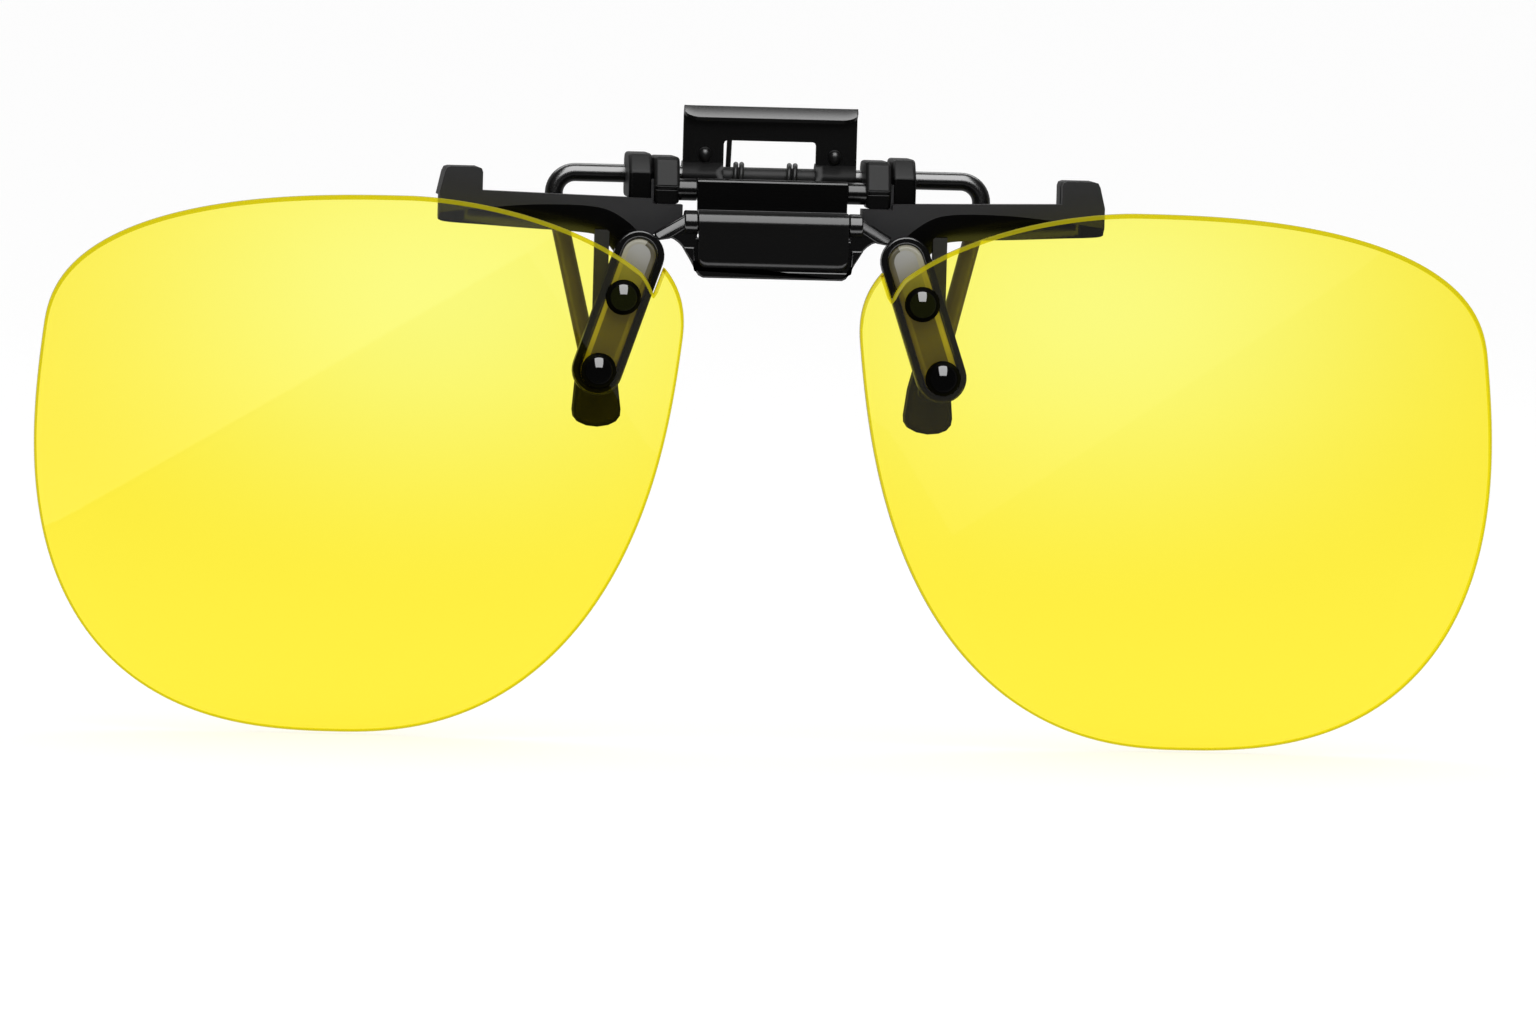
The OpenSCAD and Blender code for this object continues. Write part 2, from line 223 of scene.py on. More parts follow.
def join(obj, other):
    """Adds the mesh of other to obj, and removes other."""
    bm = bmesh.new()
    bm.from_mesh(obj.data)
    bm.from_mesh(other.data)
    bm.to_mesh(obj.data)
    bm.free()
    bpy.data.objects.remove(other)


def settle(obj, node):
    """Stretches a piece so that it fills the box of the CAD node it stands for."""
    low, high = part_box(node)
    co = [v.co.copy() for v in obj.data.vertices]
    for axis in range(3):
        a, b = min(c[axis] for c in co), max(c[axis] for c in co)
        k = (high[axis] - low[axis]) / (b - a)
        for v, c in zip(obj.data.vertices, co):
            v.co[axis] = low[axis] + (c[axis] - a) * k


def round_edges(obj, width, segments=3, angle=32):
    """Rounds the edges sharper than an angle in degrees, over a width in mm."""
    m = obj.modifiers.new("round", "BEVEL")
    m.width, m.segments, m.angle_limit = width * MM, segments, math.radians(angle)
    m.limit_method = "ANGLE"
    m = obj.modifiers.new("flats stay flat", "WEIGHTED_NORMAL")
    m.keep_sharp = True


def wear(obj, *materials):
    """Gives a piece its finishes; its faces use the first unless they say otherwise."""
    for m in materials:
        obj.data.materials.append(m)


def place(obj, body, node, slot, *materials):
    """Puts a finished piece on its body in place of a CAD node."""
    settle(obj, node)
    wear(obj, *materials)
    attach(obj, body)
    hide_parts(node)


def both(node, build, body, slot, *materials):
    """Builds the right-hand piece and its mirror image on the left."""
    for side, sign in (("right", 1), ("left", -1)):
        obj = build(side)
        if sign < 0:
            obj.data.transform(Matrix.Scale(-1, 4, Vector((1, 0, 0))))
            obj.data.flip_normals()
        place(obj, body, f"{side}_{node}", slot, *materials)


# ---- Finishes ----

GRAIN_WIDTH, GRAIN_DEPTH = 0.4, 0.02
# Where the painted glow sits in each lens and how far it reaches, in mm
GLOW_X, GLOW_Z, GLOW_REACH = 30, -9, (45, 100, 29)


def finish(name, colour, rough, shine=0.5, metal=0.0, grain=0.0):
    """A plain finish with a fine surface grain, grain being its strength."""
    m = bpy.data.materials.new(name)
    m.use_nodes = True
    nodes, links = m.node_tree.nodes, m.node_tree.links
    shader = nodes["Principled BSDF"]
    shader.inputs["Base Color"].default_value = (*colour, 1)
    shader.inputs["Roughness"].default_value = rough
    shader.inputs["Specular IOR Level"].default_value = shine
    shader.inputs["Metallic"].default_value = metal
    where = nodes.new("ShaderNodeTexCoord")
    noise = nodes.new("ShaderNodeTexNoise")
    noise.inputs["Scale"].default_value = 1 / (GRAIN_WIDTH * MM)
    noise.inputs["Detail"].default_value = 3
    bump = nodes.new("ShaderNodeBump")
    bump.inputs["Strength"].default_value = grain
    bump.inputs["Distance"].default_value = GRAIN_DEPTH * MM
    links.new(where.outputs["Object"], noise.inputs["Vector"])
    links.new(noise.outputs["Fac"], bump.inputs["Height"])
    links.new(bump.outputs["Normal"], shader.inputs["Normal"])
    return m


def clear(name, tint, ior, rough=0.0, body=0.0, colour=(1, 1, 1), pale=None, middle=0):
    """Thin clear sheet: tinted where it lets light through, glossy on its faces.

    A share of it, body, scatters light of its own colour instead. A painted glow, a second pale
    tint, spreads from the upper middle of a lens, and middle says how far across that is, in mm."""
    m = bpy.data.materials.new(name)
    m.use_nodes = True
    nodes, links = m.node_tree.nodes, m.node_tree.links
    nodes.remove(nodes["Principled BSDF"])
    through = nodes.new("ShaderNodeBsdfTransparent")
    through.inputs["Color"].default_value = (*tint, 1)
    gloss = nodes.new("ShaderNodeBsdfGlossy")
    gloss.inputs["Roughness"].default_value = rough
    fresnel = nodes.new("ShaderNodeFresnel")
    fresnel.inputs["IOR"].default_value = ior
    mix = nodes.new("ShaderNodeMixShader")
    links.new(fresnel.outputs["Fac"], mix.inputs["Fac"])
    if pale:
        where = nodes.new("ShaderNodeTexCoord")
        move = nodes.new("ShaderNodeMapping")
        move.vector_type = "TEXTURE"
        move.inputs["Location"].default_value = at(middle, 0, GLOW_Z)
        move.inputs["Scale"].default_value = [reach * MM for reach in GLOW_REACH]
        spread = nodes.new("ShaderNodeTexGradient")
        spread.gradient_type = "SPHERICAL"
        ramp = nodes.new("ShaderNodeValToRGB")
        ramp.color_ramp.interpolation = "EASE"
        ramp.color_ramp.elements[0].color = (*tint, 1)
        ramp.color_ramp.elements[1].color = (*pale, 1)
        links.new(where.outputs["Object"], move.inputs["Vector"])
        links.new(move.outputs["Vector"], spread.inputs["Vector"])
        links.new(spread.outputs["Fac"], ramp.inputs["Fac"])
        links.new(ramp.outputs["Color"], through.inputs["Color"])
    last = through
    if body:
        haze = nodes.new("ShaderNodeBsdfDiffuse")
        haze.inputs["Color"].default_value = (*colour, 1)
        part = nodes.new("ShaderNodeMixShader")
        part.inputs["Fac"].default_value = body
        links.new(through.outputs["BSDF"], part.inputs[1])
        links.new(haze.outputs["BSDF"], part.inputs[2])
        last = part
    links.new(last.outputs[0], mix.inputs[1])
    links.new(gloss.outputs["BSDF"], mix.inputs[2])
    # Only the outer side of each face reflects, so that a ray can always leave the sheet
    side = nodes.new("ShaderNodeNewGeometry")
    both_sides = nodes.new("ShaderNodeMixShader")
    links.new(side.outputs["Backfacing"], both_sides.inputs["Fac"])
    links.new(mix.outputs["Shader"], both_sides.inputs[1])
    links.new(through.outputs["BSDF"], both_sides.inputs[2])
    links.new(both_sides.outputs["Shader"], nodes["Material Output"].inputs["Surface"])
    return m


moulded = finish("moulded nylon", (0.013, 0.013, 0.014), 0.45, 0.15, grain=0.5)
# Darker, glossier copy of the nylon for down-facing and front faces: the glossier finish is real,
# the darker colour is painted shade
moulded_gloss_shaded = finish("moulded nylon, chamfer, painted shade", (0.001, 0.001, 0.001), 0.2, 0.15)
# Lit and shaded copies of one satin nylon: the lighter is painted light on up-facing slopes, the
# darker is painted shade below them
block_face_lit = finish("satin nylon, slope, painted light", (0.008, 0.008, 0.008), 0.4, 0.09)
block_black = finish("satin nylon", (0.001, 0.001, 0.001), 0.2, 0.3)
bridge_black = finish("moulded bridge", (0.002, 0.002, 0.002), 0.18, 0.4)
wire_black = finish("black plated wire", (0.002, 0.002, 0.002), 0.24, 0.7)
# The legs are painted lighter brown: a painted glow standing in for light scattered by the lens in
# front of them, on wire that is really black
leg_lens_glow = finish("black plated wire, leg, painted lens glow", (0.07, 0.055, 0.025), 0.3, 0.4)
plate_black = finish("black plated sheet", (0.003, 0.003, 0.003), 0.2, 0.28)
# Darker copy of the plated sheet for the cover's upper web: painted shade
web_shaded = finish("black plated sheet, upper, painted shade", (0.0004, 0.0004, 0.0004), 0.2, 0.2)
spring_black = finish("black plated spring", (0.012, 0.012, 0.012), 0.4, 0.2)
# Matt black wire: the real finish of the core shaft and cross pin, and on the leg wire behind the
# lever's window a painted shade that hides the wire's highlight
wire_matt_and_shade = finish("black plated wire, matt, painted shade behind the window", (0.012, 0.012, 0.012), 0.5, 0.15)
# Darker, duller copy for the lever's curl and the window's cut sides: painted shade
curl_shaded = finish("black plated sheet, curl, painted shade", (0.002, 0.002, 0.002), 0.4, 0.12)
# Shinier copy for the up-facing lip: painted highlight
lip_highlight = finish("black plated sheet, lip, painted highlight", (0.003, 0.003, 0.003), 0.25, 0.42)
bump_black = finish("black plated sheet, bumps", (0.002, 0.002, 0.002), 0.36, 0.4)
# Lighter grey for the up-facing facets of the bridge ribs: painted highlight
bridge_rib_highlight = finish("moulded bridge, rib, painted highlight", (0.04, 0.04, 0.04), 0.3, 0.42)
leaf_steel = finish("leaf steel", (0.28, 0.28, 0.28), 0.35, metal=1.0)
rubber = finish("grip rubber", (0.005, 0.005, 0.004), 0.6, 0.12, grain=0.8)
rivet_black = finish("rivet", (0.001, 0.001, 0.001), 0.05, 0.5)
# Upper rivets painted olive: painted yellow haze from the lens over black heads
rivet_lens_haze = finish("rivet, upper, painted lens haze", (0.006, 0.007, 0.001), 0.05, 0.5)
# Matt copy for the rivets' rims: painted shade that keeps them black
rivet_rim_shaded = finish("rivet, edge, painted shade", (0.001, 0.001, 0.001), 0.5, 0.02)


def recess(name, low, high):
    """Painted light inside the lens arm: one colour low down, behind the lens, and another at its
    top.
    """
    m = finish(name, low, 0.35, 0.6, grain=0.3)
    nodes, links = m.node_tree.nodes, m.node_tree.links
    where = nodes.new("ShaderNodeTexCoord")
    move = nodes.new("ShaderNodeMapping")
    move.vector_type = "TEXTURE"
    move.inputs["Rotation"].default_value = (0, -math.pi / 2, 0)
    move.inputs["Location"].default_value = (0, 0, core.z - 11 * MM)
    move.inputs["Scale"].default_value = (6 * MM, 1, 1)
    run = nodes.new("ShaderNodeTexGradient")
    ramp = nodes.new("ShaderNodeValToRGB")
    ramp.color_ramp.elements[0].color = (*low, 1)
    ramp.color_ramp.elements[1].color = (*high, 1)
    links.new(where.outputs["Object"], move.inputs["Vector"])
    links.new(move.outputs["Vector"], run.inputs["Vector"])
    links.new(run.outputs["Fac"], ramp.inputs["Fac"])
    links.new(ramp.outputs["Color"], nodes["Principled BSDF"].inputs["Base Color"])
    return m


# Painted light: the floor is bright grey at its top as a painted reflection and dark brown low
# down, the outer slope a golden painted highlight, the inner slope painted shade
recess_floor_painted = recess("recess floor, painted light", (0.052, 0.037, 0.02), (0.3, 0.3, 0.29))
recess_slope_highlight = recess("recess slope, outer, painted highlight", (0.34, 0.29, 0.09), (0.3, 0.29, 0.24))
recess_slope_shade = recess("recess slope, inner, painted shade", (0.1, 0.08, 0.02), (0.06, 0.05, 0.02))
washer = clear("clear washer", (0.9, 0.9, 0.88), 1.45, rough=0.05)
# Each lens has a painted glow: its tint turns pale towards the upper middle
lens_yellow = {
    side: clear(f"yellow lens, {side}", (1, 0.925, 0.235), 1.4, pale=(1, 0.995, 0.46), middle=x)
    for side, x in (("left", -GLOW_X), ("right", GLOW_X))
}
lens_edge = clear("yellow lens, polished edge", (0.87, 0.79, 0.025), 1.5, rough=0.1, body=0.5,
                  colour=(0.6, 0.53, 0.01))


# ---- Front clamp ----

HOOK_IN, HOOK_OUT, HOOK_TOP = 26.3, 30.2, 1.6
HOOK_CORNER_OUT = [(29.2, HOOK_TOP), (29.55, 1.5), (29.75, 1.1)]
HOOK_CORNER_IN = [(HOOK_IN, 1.15), (HOOK_IN + 0.12, 1.48), (HOOK_IN + 0.45, HOOK_TOP)]
ARM_FRONT, ARM_BACK, CHAMFER = -2.9, -0.6, 0.8
LUG_IN, LUG_OUT = 10.9, 13.05
BLOCK_IN, BLOCK_OUT, BLOCK_STEP = 8.45, 10.75, 0.3


def hook_arm(side):
    upper = [
        (8.15, -2.6), (8.15, -1.35), (LUG_IN, -1.35), (LUG_IN, -0.85), (18, -0.7),
        (HOOK_IN, -0.5), *HOOK_CORNER_IN, *HOOK_CORNER_OUT, (HOOK_OUT, -0.75),
    ]
    # The lower edge: x and z of the crease on the front face, then of the edge behind it
    sweep = smooth_line([
        (30.2, -2.6, 30.2, -3.0), (29.6, -2.5, 29.7, -3.4), (26, -2.05, 26, -3.62),
        (22, -1.68, 22, -3.84), (18, -1.6, 18, -4.02), (15.6, -1.8, 15.6, -4.35),
        (14.2, -2.3, 14.6, -5.25), (13, -3.1, 13.8, -6), (12, -3.9, 12.6, -5.2),
        (10.9, -4.2, 10.9, -4.25),
    ])
    crease = upper + [(x, z) for x, z, _, _ in sweep]
    behind = upper + [(x, z) for _, _, x, z in sweep]
    arm = [
        [at(x, ARM_FRONT, z) for x, z in crease],
        [at(x, ARM_FRONT + CHAMFER, z) for x, z in behind],
        [at(x, ARM_BACK, z) for x, z in behind],
    ]
    tab = slab([
        (HOOK_IN, -1.0), (HOOK_OUT, -1.0), *HOOK_CORNER_OUT[::-1], *HOOK_CORNER_IN[::-1],
    ], -1.5, 2.6)
    finger = slab([
        (14.7, -3.8), (16, -3.8), (16, -17.3), (15.7, -17.6), (15, -17.6), (14.7, -17.3),
    ], -2.4, -1.4)
    lug = soft_strip([
        (-2.4, -1.4), (-2.4, 1.4), (-2.25, 1.7), (-1, 3.05), (-0.6, 3.2), (4, 3.2),
        (4.5, 2.7), (4.5, -0.4), (4, -0.9), (0, -0.9), (ARM_BACK, -1.4),
    ], LUG_IN, LUG_OUT, 0.35)
    # Low web that closes the gap between the lug and the hinge block
    web = slab([(10.4, -1.45), (11.4, -1.45), (11.4, 0.9), (10.77, 0.9), (10.77, -0.95),
                (10.66, -1.17), (10.4, -1.32)], -2.3, -0.7)
    obj = solid(f"{side}_hook_arm_moulding", [arm, tab, finger, lug, web])
    wear(obj, moulded, moulded_gloss_shaded, block_face_lit)
    # Painted light by which way a face looks: the lug's up-facing slope takes the lighter satin
    # copy, its front faces and the arm's down-facing chamfer take the darker copy as painted shade
    for face in obj.data.polygons:
        n, c = face.normal, face.center
        if LUG_IN < c.x / MM < LUG_OUT and c.z > core.z - 1.2 * MM and n.y < -0.3:
            face.material_index = 2 if n.z > 0.3 else 1
        if n.z < -0.15 and c.y < (ARM_FRONT + CHAMFER) * MM:
            face.material_index = 1
    round_edges(obj, 0.14)
    return obj


def front_pad(side):
    obj = solid(f"{side}_front_pad_tip", [slab([
        (13.75, -18.1), (14.25, -18.6), (16.45, -18.6), (16.95, -18.1),
        (16.75, -14.7), (16.35, -14.2), (14.35, -14.2), (13.95, -14.7),
    ], -2.7, -1.1)])
    round_edges(obj, 0.35, 4)
    return obj


def hinge_block(side):
    boss = [[at(x, -1.5 + math.cos(t), math.sin(t)) for t in angles(32)] for x in (6.85, 8.65)]
    obj = solid(f"{side}_hinge_block_moulding", [boss, soft_strip([
        (-3.1, 0.35), (-2.35, 2.6), (-1.9, 2.95), (3.9, 2.95), (4.4, 2.45), (4.4, -0.3),
        (3.9, -0.8), (0, -0.8), (-0.4, -1.3), (-2.6, -1.3), (-2.6, -0.05), (-3.0, 0.15),
    ], BLOCK_IN, BLOCK_OUT, 0.35)])
    wear(obj, block_face_lit, block_black)
    # Painted shade: the faces below the slope, and the boss, take the darker copy; the slope above
    # takes the painted light
    for face in obj.data.polygons:
        if face.center.z < core.z + BLOCK_STEP * MM or face.center.x < 8.4 * MM:
            face.material_index = 1
    round_edges(obj, 0.12, 3, 28)
    return obj


both("hook_arm", hook_arm, FRONT, "moulded_black")
both("front_pad", front_pad, FRONT, "grip_rubber", rubber)
both("hinge_block", hinge_block, FRONT, "block_black")


# ---- Rear clamp ----

WIRE_Y, WIRE_Z = wire.y / MM, (wire.z - core.z) / MM
WIRE_R, BEND, LEG_X = 0.825, 1.9, 19.45
LEG_LEAN, FOOT_LEAN = 13.6, math.radians(2.5)
FOOT_MID = (15.15, -19.1)
LEVER_Y, LEVER_T, LEVER_TOP, LEVER_X = 2.05, 0.5, 7.6, 7.9
WINDOW_X, WINDOW_TOP = 4.2, 4.45


def leg_wire():
    low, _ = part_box("leg_wire")
    bend = arc((LEG_X - BEND, WIRE_Z - BEND), BEND, 90, -LEG_LEAN, 14)
    x, z = bend[-1]
    drop = z - (low.z - core.z) / MM - 0.2
    leg = [(x - drop * k / 6 * math.tan(math.radians(LEG_LEAN)), z - drop * k / 6)
           for k in range(1, 7)]
    axle = [(across, WIRE_Z) for across in (1, WINDOW_X, 9)]
    half = [(x, WIRE_Y, z) for x, z in axle + bend + leg]
    path = [(-x, y, z) for x, y, z in half[::-1]] + half
    obj = solid("leg_wire_bent", [tube(path, WIRE_R, 32)])
    wear(obj, wire_black, leg_lens_glow, wire_matt_and_shade)
    # Below the axle the legs take the painted lens glow
    for face in obj.data.polygons:
        if face.center.z < core.z - 2 * MM:
            face.material_index = 1
        # Painted shade: the stretch behind the lever's window takes the matt copy
        elif abs(face.center.x) < WINDOW_X * MM:
            face.material_index = 2
    round_edges(obj, 0.1)
    return obj


def foot(side):
    # Counted from the middle of the foot, then leaned a little less than the leg
    shape = [(-1.4, 3.9), (1.5, 3.9), (1.85, 1), (2.15, -1.6), (2.08, -2.25), (1.7, -2.8),
             (1.0, -3.15), (0, -3.3), (-1.0, -3.15), (-1.7, -2.8), (-2.08, -2.25),
             (-2.15, -1.6), (-1.95, 1)]
    c, s = math.cos(FOOT_LEAN), math.sin(FOOT_LEAN)
    outline = [(FOOT_MID[0] + x * c + z * s, FOOT_MID[1] - x * s + z * c) for x, z in shape]
    obj = solid(f"{side}_rear_foot_tip", [slab(outline, 1.1, 4.4)])
    round_edges(obj, 0.55, 5, 40)
    return obj


def lever_plate():
    mid = LEVER_Y - LEVER_T / 2
    curl = arc((WIRE_Y, WIRE_Z), WIRE_R + LEVER_T / 2, 155, 470, 22)
    loops = []
    steps = 28
    for k in range(steps + 1):
        # The lip is rounded off at both ends
        x = -LEVER_X * math.cos(math.pi * k / steps)
        from_end = min(1, (LEVER_X - abs(x)) / 1.5)
        reach = 0.25 + 0.75 * math.sqrt(max(0, 1 - (1 - from_end) ** 2))
        lip = [
            (mid - 0.62 - 0.9 * reach, LEVER_TOP - 0.38 - 0.85 * reach),
            (mid - 0.62 - 0.45 * reach, LEVER_TOP - 0.34 - 0.38 * reach),
            (mid - 0.55, LEVER_TOP - 0.26), (mid - 0.3, LEVER_TOP - 0.34),
            (mid - 0.08, LEVER_TOP - 0.62), (mid, LEVER_TOP - 1.0),
        ]
        loops += strip(sheet_line([*lip, (mid, 4.5), (mid, 2.4), *curl], LEVER_T), x)
    obj = solid("lever_plate_sheet", [loops])
    hole = solid("window", [slab([
        (-WINDOW_X, -1), (WINDOW_X, -1), (WINDOW_X, WINDOW_TOP - 0.3),
        (WINDOW_X - 0.09, WINDOW_TOP - 0.09), (WINDOW_X - 0.3, WINDOW_TOP),
        (0.3 - WINDOW_X, WINDOW_TOP), (0.09 - WINDOW_X, WINDOW_TOP - 0.09),
        (-WINDOW_X, WINDOW_TOP - 0.3),
    ], 0, 6)])
    cut(obj, hole)
    # Egg-shaped bumps pushed out of the sheet
    front = LEVER_Y - LEVER_T
    bumps = solid("bumps", [[
        [at(x + r * math.cos(t), y, 3.2 + (1.3 if math.sin(t) < 0 else 1) * r * math.sin(t))
         for t in angles(28)]
        for r, y in ((0.62, front + 0.1), (0.61, front - 0.05), (0.56, front - 0.25),
                     (0.46, front - 0.42), (0.31, front - 0.55), (0.14, front - 0.62))
    ] for x in (-5.9, 5.9)])
    obj.data.set_sharp_from_angle(angle=math.radians(32))
    for face in bumps.data.polygons:
        face.material_index = 2
    join(obj, bumps)
    wear(obj, plate_black, curl_shaded, bump_black, lip_highlight)
    for face in obj.data.polygons:
        n, z = face.normal, (face.center.z - core.z) / MM
        if face.material_index:
            continue
        # Painted shade: the curl and the window's cut sides take the darker, duller copy
        if z < 2.3 or abs(n.x) > 0.9 and abs(face.center.x) < (WINDOW_X + 0.2) * MM:
            face.material_index = 1
        # Painted highlight: the up-facing lip faces take the shinier copy
        elif z > LEVER_TOP - 1.9 and n.y < -0.2 and n.z > 0.2:
            face.material_index = 3
    round_edges(obj, 0.09)
    return obj


def return_spring():
    r, d, turns, steps = 1.155, 0.5, 2, 20
    left, right = -3.6, 1.8
    # Up the lever, then round the left coil, across behind the wire, and round the right coil
    path = [(left, WIRE_Y + r - 1.4, WIRE_Z + 4.1), (left, WIRE_Y + r - 0.7, WIRE_Z + 2),
            (left, WIRE_Y + r, WIRE_Z)]
    for start, first in ((left + 0.25, 1), (right, 0)):
        for i in range(first, turns * steps + 1):
            t = math.tau * i / steps
            path.append((start + (d + 0.06) * i / steps, WIRE_Y + r * math.cos(t),
                         WIRE_Z - r * math.sin(t)))
    return solid("return_spring_wound", [tube(path, d / 2, 14)])


place(leg_wire(), REAR, "leg_wire", "wire_black")
both("rear_foot", foot, REAR, "grip_rubber", rubber)
place(lever_plate(), REAR, "lever_plate", "plate_black")
place(return_spring(), REAR, "return_spring", "spring_steel", spring_black)


# ---- Flip part ----

PIN_Y, PIN_Z = -3.9, -2.95
ARM_FACE, ARM_REAR = -4.8, -3.3
PILL_TOP, PILL_LOW = (12.1, -6), (15.6, -16.4)
RIVETS = {"upper": (13.55, -9.75), "lower": PILL_LOW}
COVER_X, COVER_FRONT = 6.8, -5.05


def bridge():
    side = [(8.2, -5.1), (7.4, -6.4), (6.85, -7.4), (6.65, -7.68), (6.3, -7.85)]
    half = [
        (6.9, -4.25), (6.9, -3.6), (7.75, -3.6), (7.75, -2.3), (7.95, -2.15), (10.7, -3.8),
        (10.7, -4.5), (10.1, -4.32), (9.5, -4.3), (9, -4.45), (8.55, -4.75), *side,
    ]
    outline = half + [(-x, z) for x, z in half[::-1]]
    flange = [(7.1, -5.1), *side, *((-x, z) for x, z in side[::-1]), (-7.1, -5.1),
              (-7.0, -7.1), (7.0, -7.1)]
    # Facet on top of each end, running down to the lens arm
    rib = [(7.85, -2.15), (10.7, -3.85), (10.7, -4.6), (9.4, -4.4), (7.85, -3.4)]
    sloped = [(7.85, -2.9), (10.4, -4.35), (10.4, -4.6), *rib[3:]]
    shells = [slab(outline, -4.55, ARM_REAR), slab(flange, ARM_FACE, -4.5)]
    for sign in (-1, 1):
        shells.append([
            [at(sign * x, PIN_Y + 1.15 * math.cos(t), PIN_Z + 1.15 * math.sin(t))
             for t in angles(32)]
            for x in (6.85, 8.1)
        ])
        shells.append([
            [at(sign * x, y, z) for x, z in line]
            for line, y in ((sloped, ARM_FACE), (rib, ARM_FACE + 0.22), (rib, ARM_REAR))
        ])
    obj = solid("bridge_moulding", shells)
    wear(obj, bridge_black, bridge_rib_highlight)
    # Painted highlight: the ribs' up-facing front facets take the lighter grey
    for face in obj.data.polygons:
        if face.normal.y < -0.3 and face.normal.z > 0.3 and abs(face.center.x) > 7.9 * MM:
            face.material_index = 1
    round_edges(obj, 0.16)
    return obj


def pill(r):
    """Round-ended outline about the line between the arm's two ends."""
    dx, dz = PILL_LOW[0] - PILL_TOP[0], PILL_LOW[1] - PILL_TOP[1]
    way = math.degrees(math.atan2(dz, dx))
    return arc(PILL_LOW, r, way - 90, way + 90, 16) + arc(PILL_TOP, r, way + 90, way + 270, 16)


def lens_arm(side):
    loops = [
        [at(x, y, z) for x, z in pill(r)]
        for r, y in ((2.27, ARM_REAR), (2.27, ARM_FACE), (1.66, ARM_FACE),
                     (1.6, ARM_FACE + 0.12), (1.55, ARM_FACE + 0.3), (1.05, ARM_FACE + 0.55))
    ]
    obj = solid(f"{side}_lens_arm_moulding", [loops])
    wear(obj, bridge_black, recess_floor_painted, recess_slope_highlight, recess_slope_shade)
    # Painted light by place: the recess floor takes the painted ramp, the outer slope the painted
    # highlight, the inner slope painted shade
    for face in obj.data.polygons:
        n, deep = face.normal, face.center.y / MM - ARM_FACE
        if n.y < -0.9 and deep > 0.5:
            face.material_index = 1
        elif n.y < -0.1 and 0.35 < deep < 0.5:
            face.material_index = 2 if n.x < 0.2 else 3
    round_edges(obj, 0.24)
    return obj


def cover_sleeve():
    # Round the core shaft, forward over the cross pin, and down in front
    front = COVER_FRONT
    outer = [
        (-0.75, -0.75), (-0.5, -0.35), (-0.45, 0), (-0.5, 0.6), (-0.7, 0.92), (-1.05, 1.05),
        (-2.1, 1.05), (-2.33, 1.0), (-2.46, 0.91), (-2.55, 0.77), (-2.55, -1.78), (-2.58, -1.8),
        (-3.3, -1.8),
    ] + arc((PIN_Y, PIN_Z), 1.15, 90, 180, 12) + [(front, -6.2)]
    inner = [
        (front + 0.45, -6.2), (front + 0.45, -4.2), (-4.55, -3.9), (-4.1, -3.9),
        (-3.6, -3.95), (-3.1, -3.7), (-2.85, -3.3), (-2.75, -2.85), (-2.85, -2.5),
        (-2.6, -2.2), (-2.2, -1.8), (-2.05, -1.4), (-2.0, -1.0), (-1.4, -0.95),
    ]
    loops = []
    steps, corner = 24, 0.7
    for k in range(steps + 1):
        # The lower corners are rounded off
        x = -COVER_X * math.cos(math.pi * k / steps)
        near = min(1, (COVER_X - abs(x)) / corner)
        drop = corner * (1 - math.sqrt(max(0, 1 - (1 - near) ** 2)))
        edge = [
            (front + 0.03, -6.45 + drop * 0.7), (front + 0.12, -6.75 + drop * 0.9),
            (front + 0.28, -6.95 + drop), (front + 0.45, -7.0 + drop),
        ]
        loops += strip(outer + edge + inner, x)
    obj = solid("cover_sleeve_folded", [loops])
    wear(obj, plate_black, web_shaded)
    # Painted shade: the front of the upper web takes the darker copy
    for face in obj.data.polygons:
        if face.normal.y < -0.95 and face.center.z > core.z - 1.8 * MM:
            face.material_index = 1
    round_edges(obj, 0.1, angle=40)
    return obj


def rivet(name, head_finish):
    """A builder for one of the two kinds of rivet."""
    def build(side):
        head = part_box(f"{side}_{name}_rivet")
        front = head[0].y / MM
        ball = 1.69
        dome = [(ball * math.sin(a), front + ball * (1 - math.cos(a)))
                for a in (math.radians(d) for d in range(3, 70, 6))]
        seat = front + 1.15
        profile = [(0.02, front), *dome, (1.6, seat - 0.1), (1.57, seat), (0.6, seat),
                   (0.6, head[1].y / MM)]
        obj = solid(f"{side}_{name}_rivet_turned", [turned(RIVETS[name], profile, 64)])
        wear(obj, head_finish, rivet_rim_shaded)
        # Painted shade: the rim faces take the matt copy
        for face in obj.data.polygons:
            if -0.68 < face.normal.y < 0.5:
                face.material_index = 1
        return obj
    return build


# The lens's outline is four quarter ovals joined round LENS_MID, with a notch taken out
LENS_MID = (34.6, -13.8)
LENS_IN, LENS_OUT, LENS_UP, LENS_DOWN = 26.5, 31.0, 12.7, 35.9
LENS_LEAN, LENS_T, LENS_R = 0.112, 1.1, 400.0
TOP_EDGE, SIDE_EDGE = 0.42, 0.2
NOTCH, NOTCH_BACK = ((19, -2.5), (12.2, -5.6), (10.8, -9.4)), ((9.55, -5.9), (9, -2))


def even_odd(p, shape):
    """Whether a point is inside an outline."""
    hit = False
    for q, r in zip(shape, shape[1:] + shape[:1]):
        if (q.y > p.y) != (r.y > p.y) and p.x < q.x + (p.y - q.y) / (r.y - q.y) * (r.x - q.x):
            hit = not hit
    return hit


def oval(inner_up):
    """Four quarter ovals; inner_up squares off the upper one on the nose side."""
    points = []
    for a in angles(320):
        c, s = math.cos(a), math.sin(a)
        w, h = (LENS_OUT if c > 0 else LENS_IN), (LENS_UP if s > 0 else LENS_DOWN)
        n = 2.5 if c > 0 else (inner_up if s > 0 else 2.45)
        r = (abs(c / w) ** n + abs(s / h) ** n) ** (-1 / n)
        x, z = r * c, r * s
        points.append(Vector((LENS_MID[0] + x - LENS_LEAN * z, LENS_MID[1] + z)))
    return points


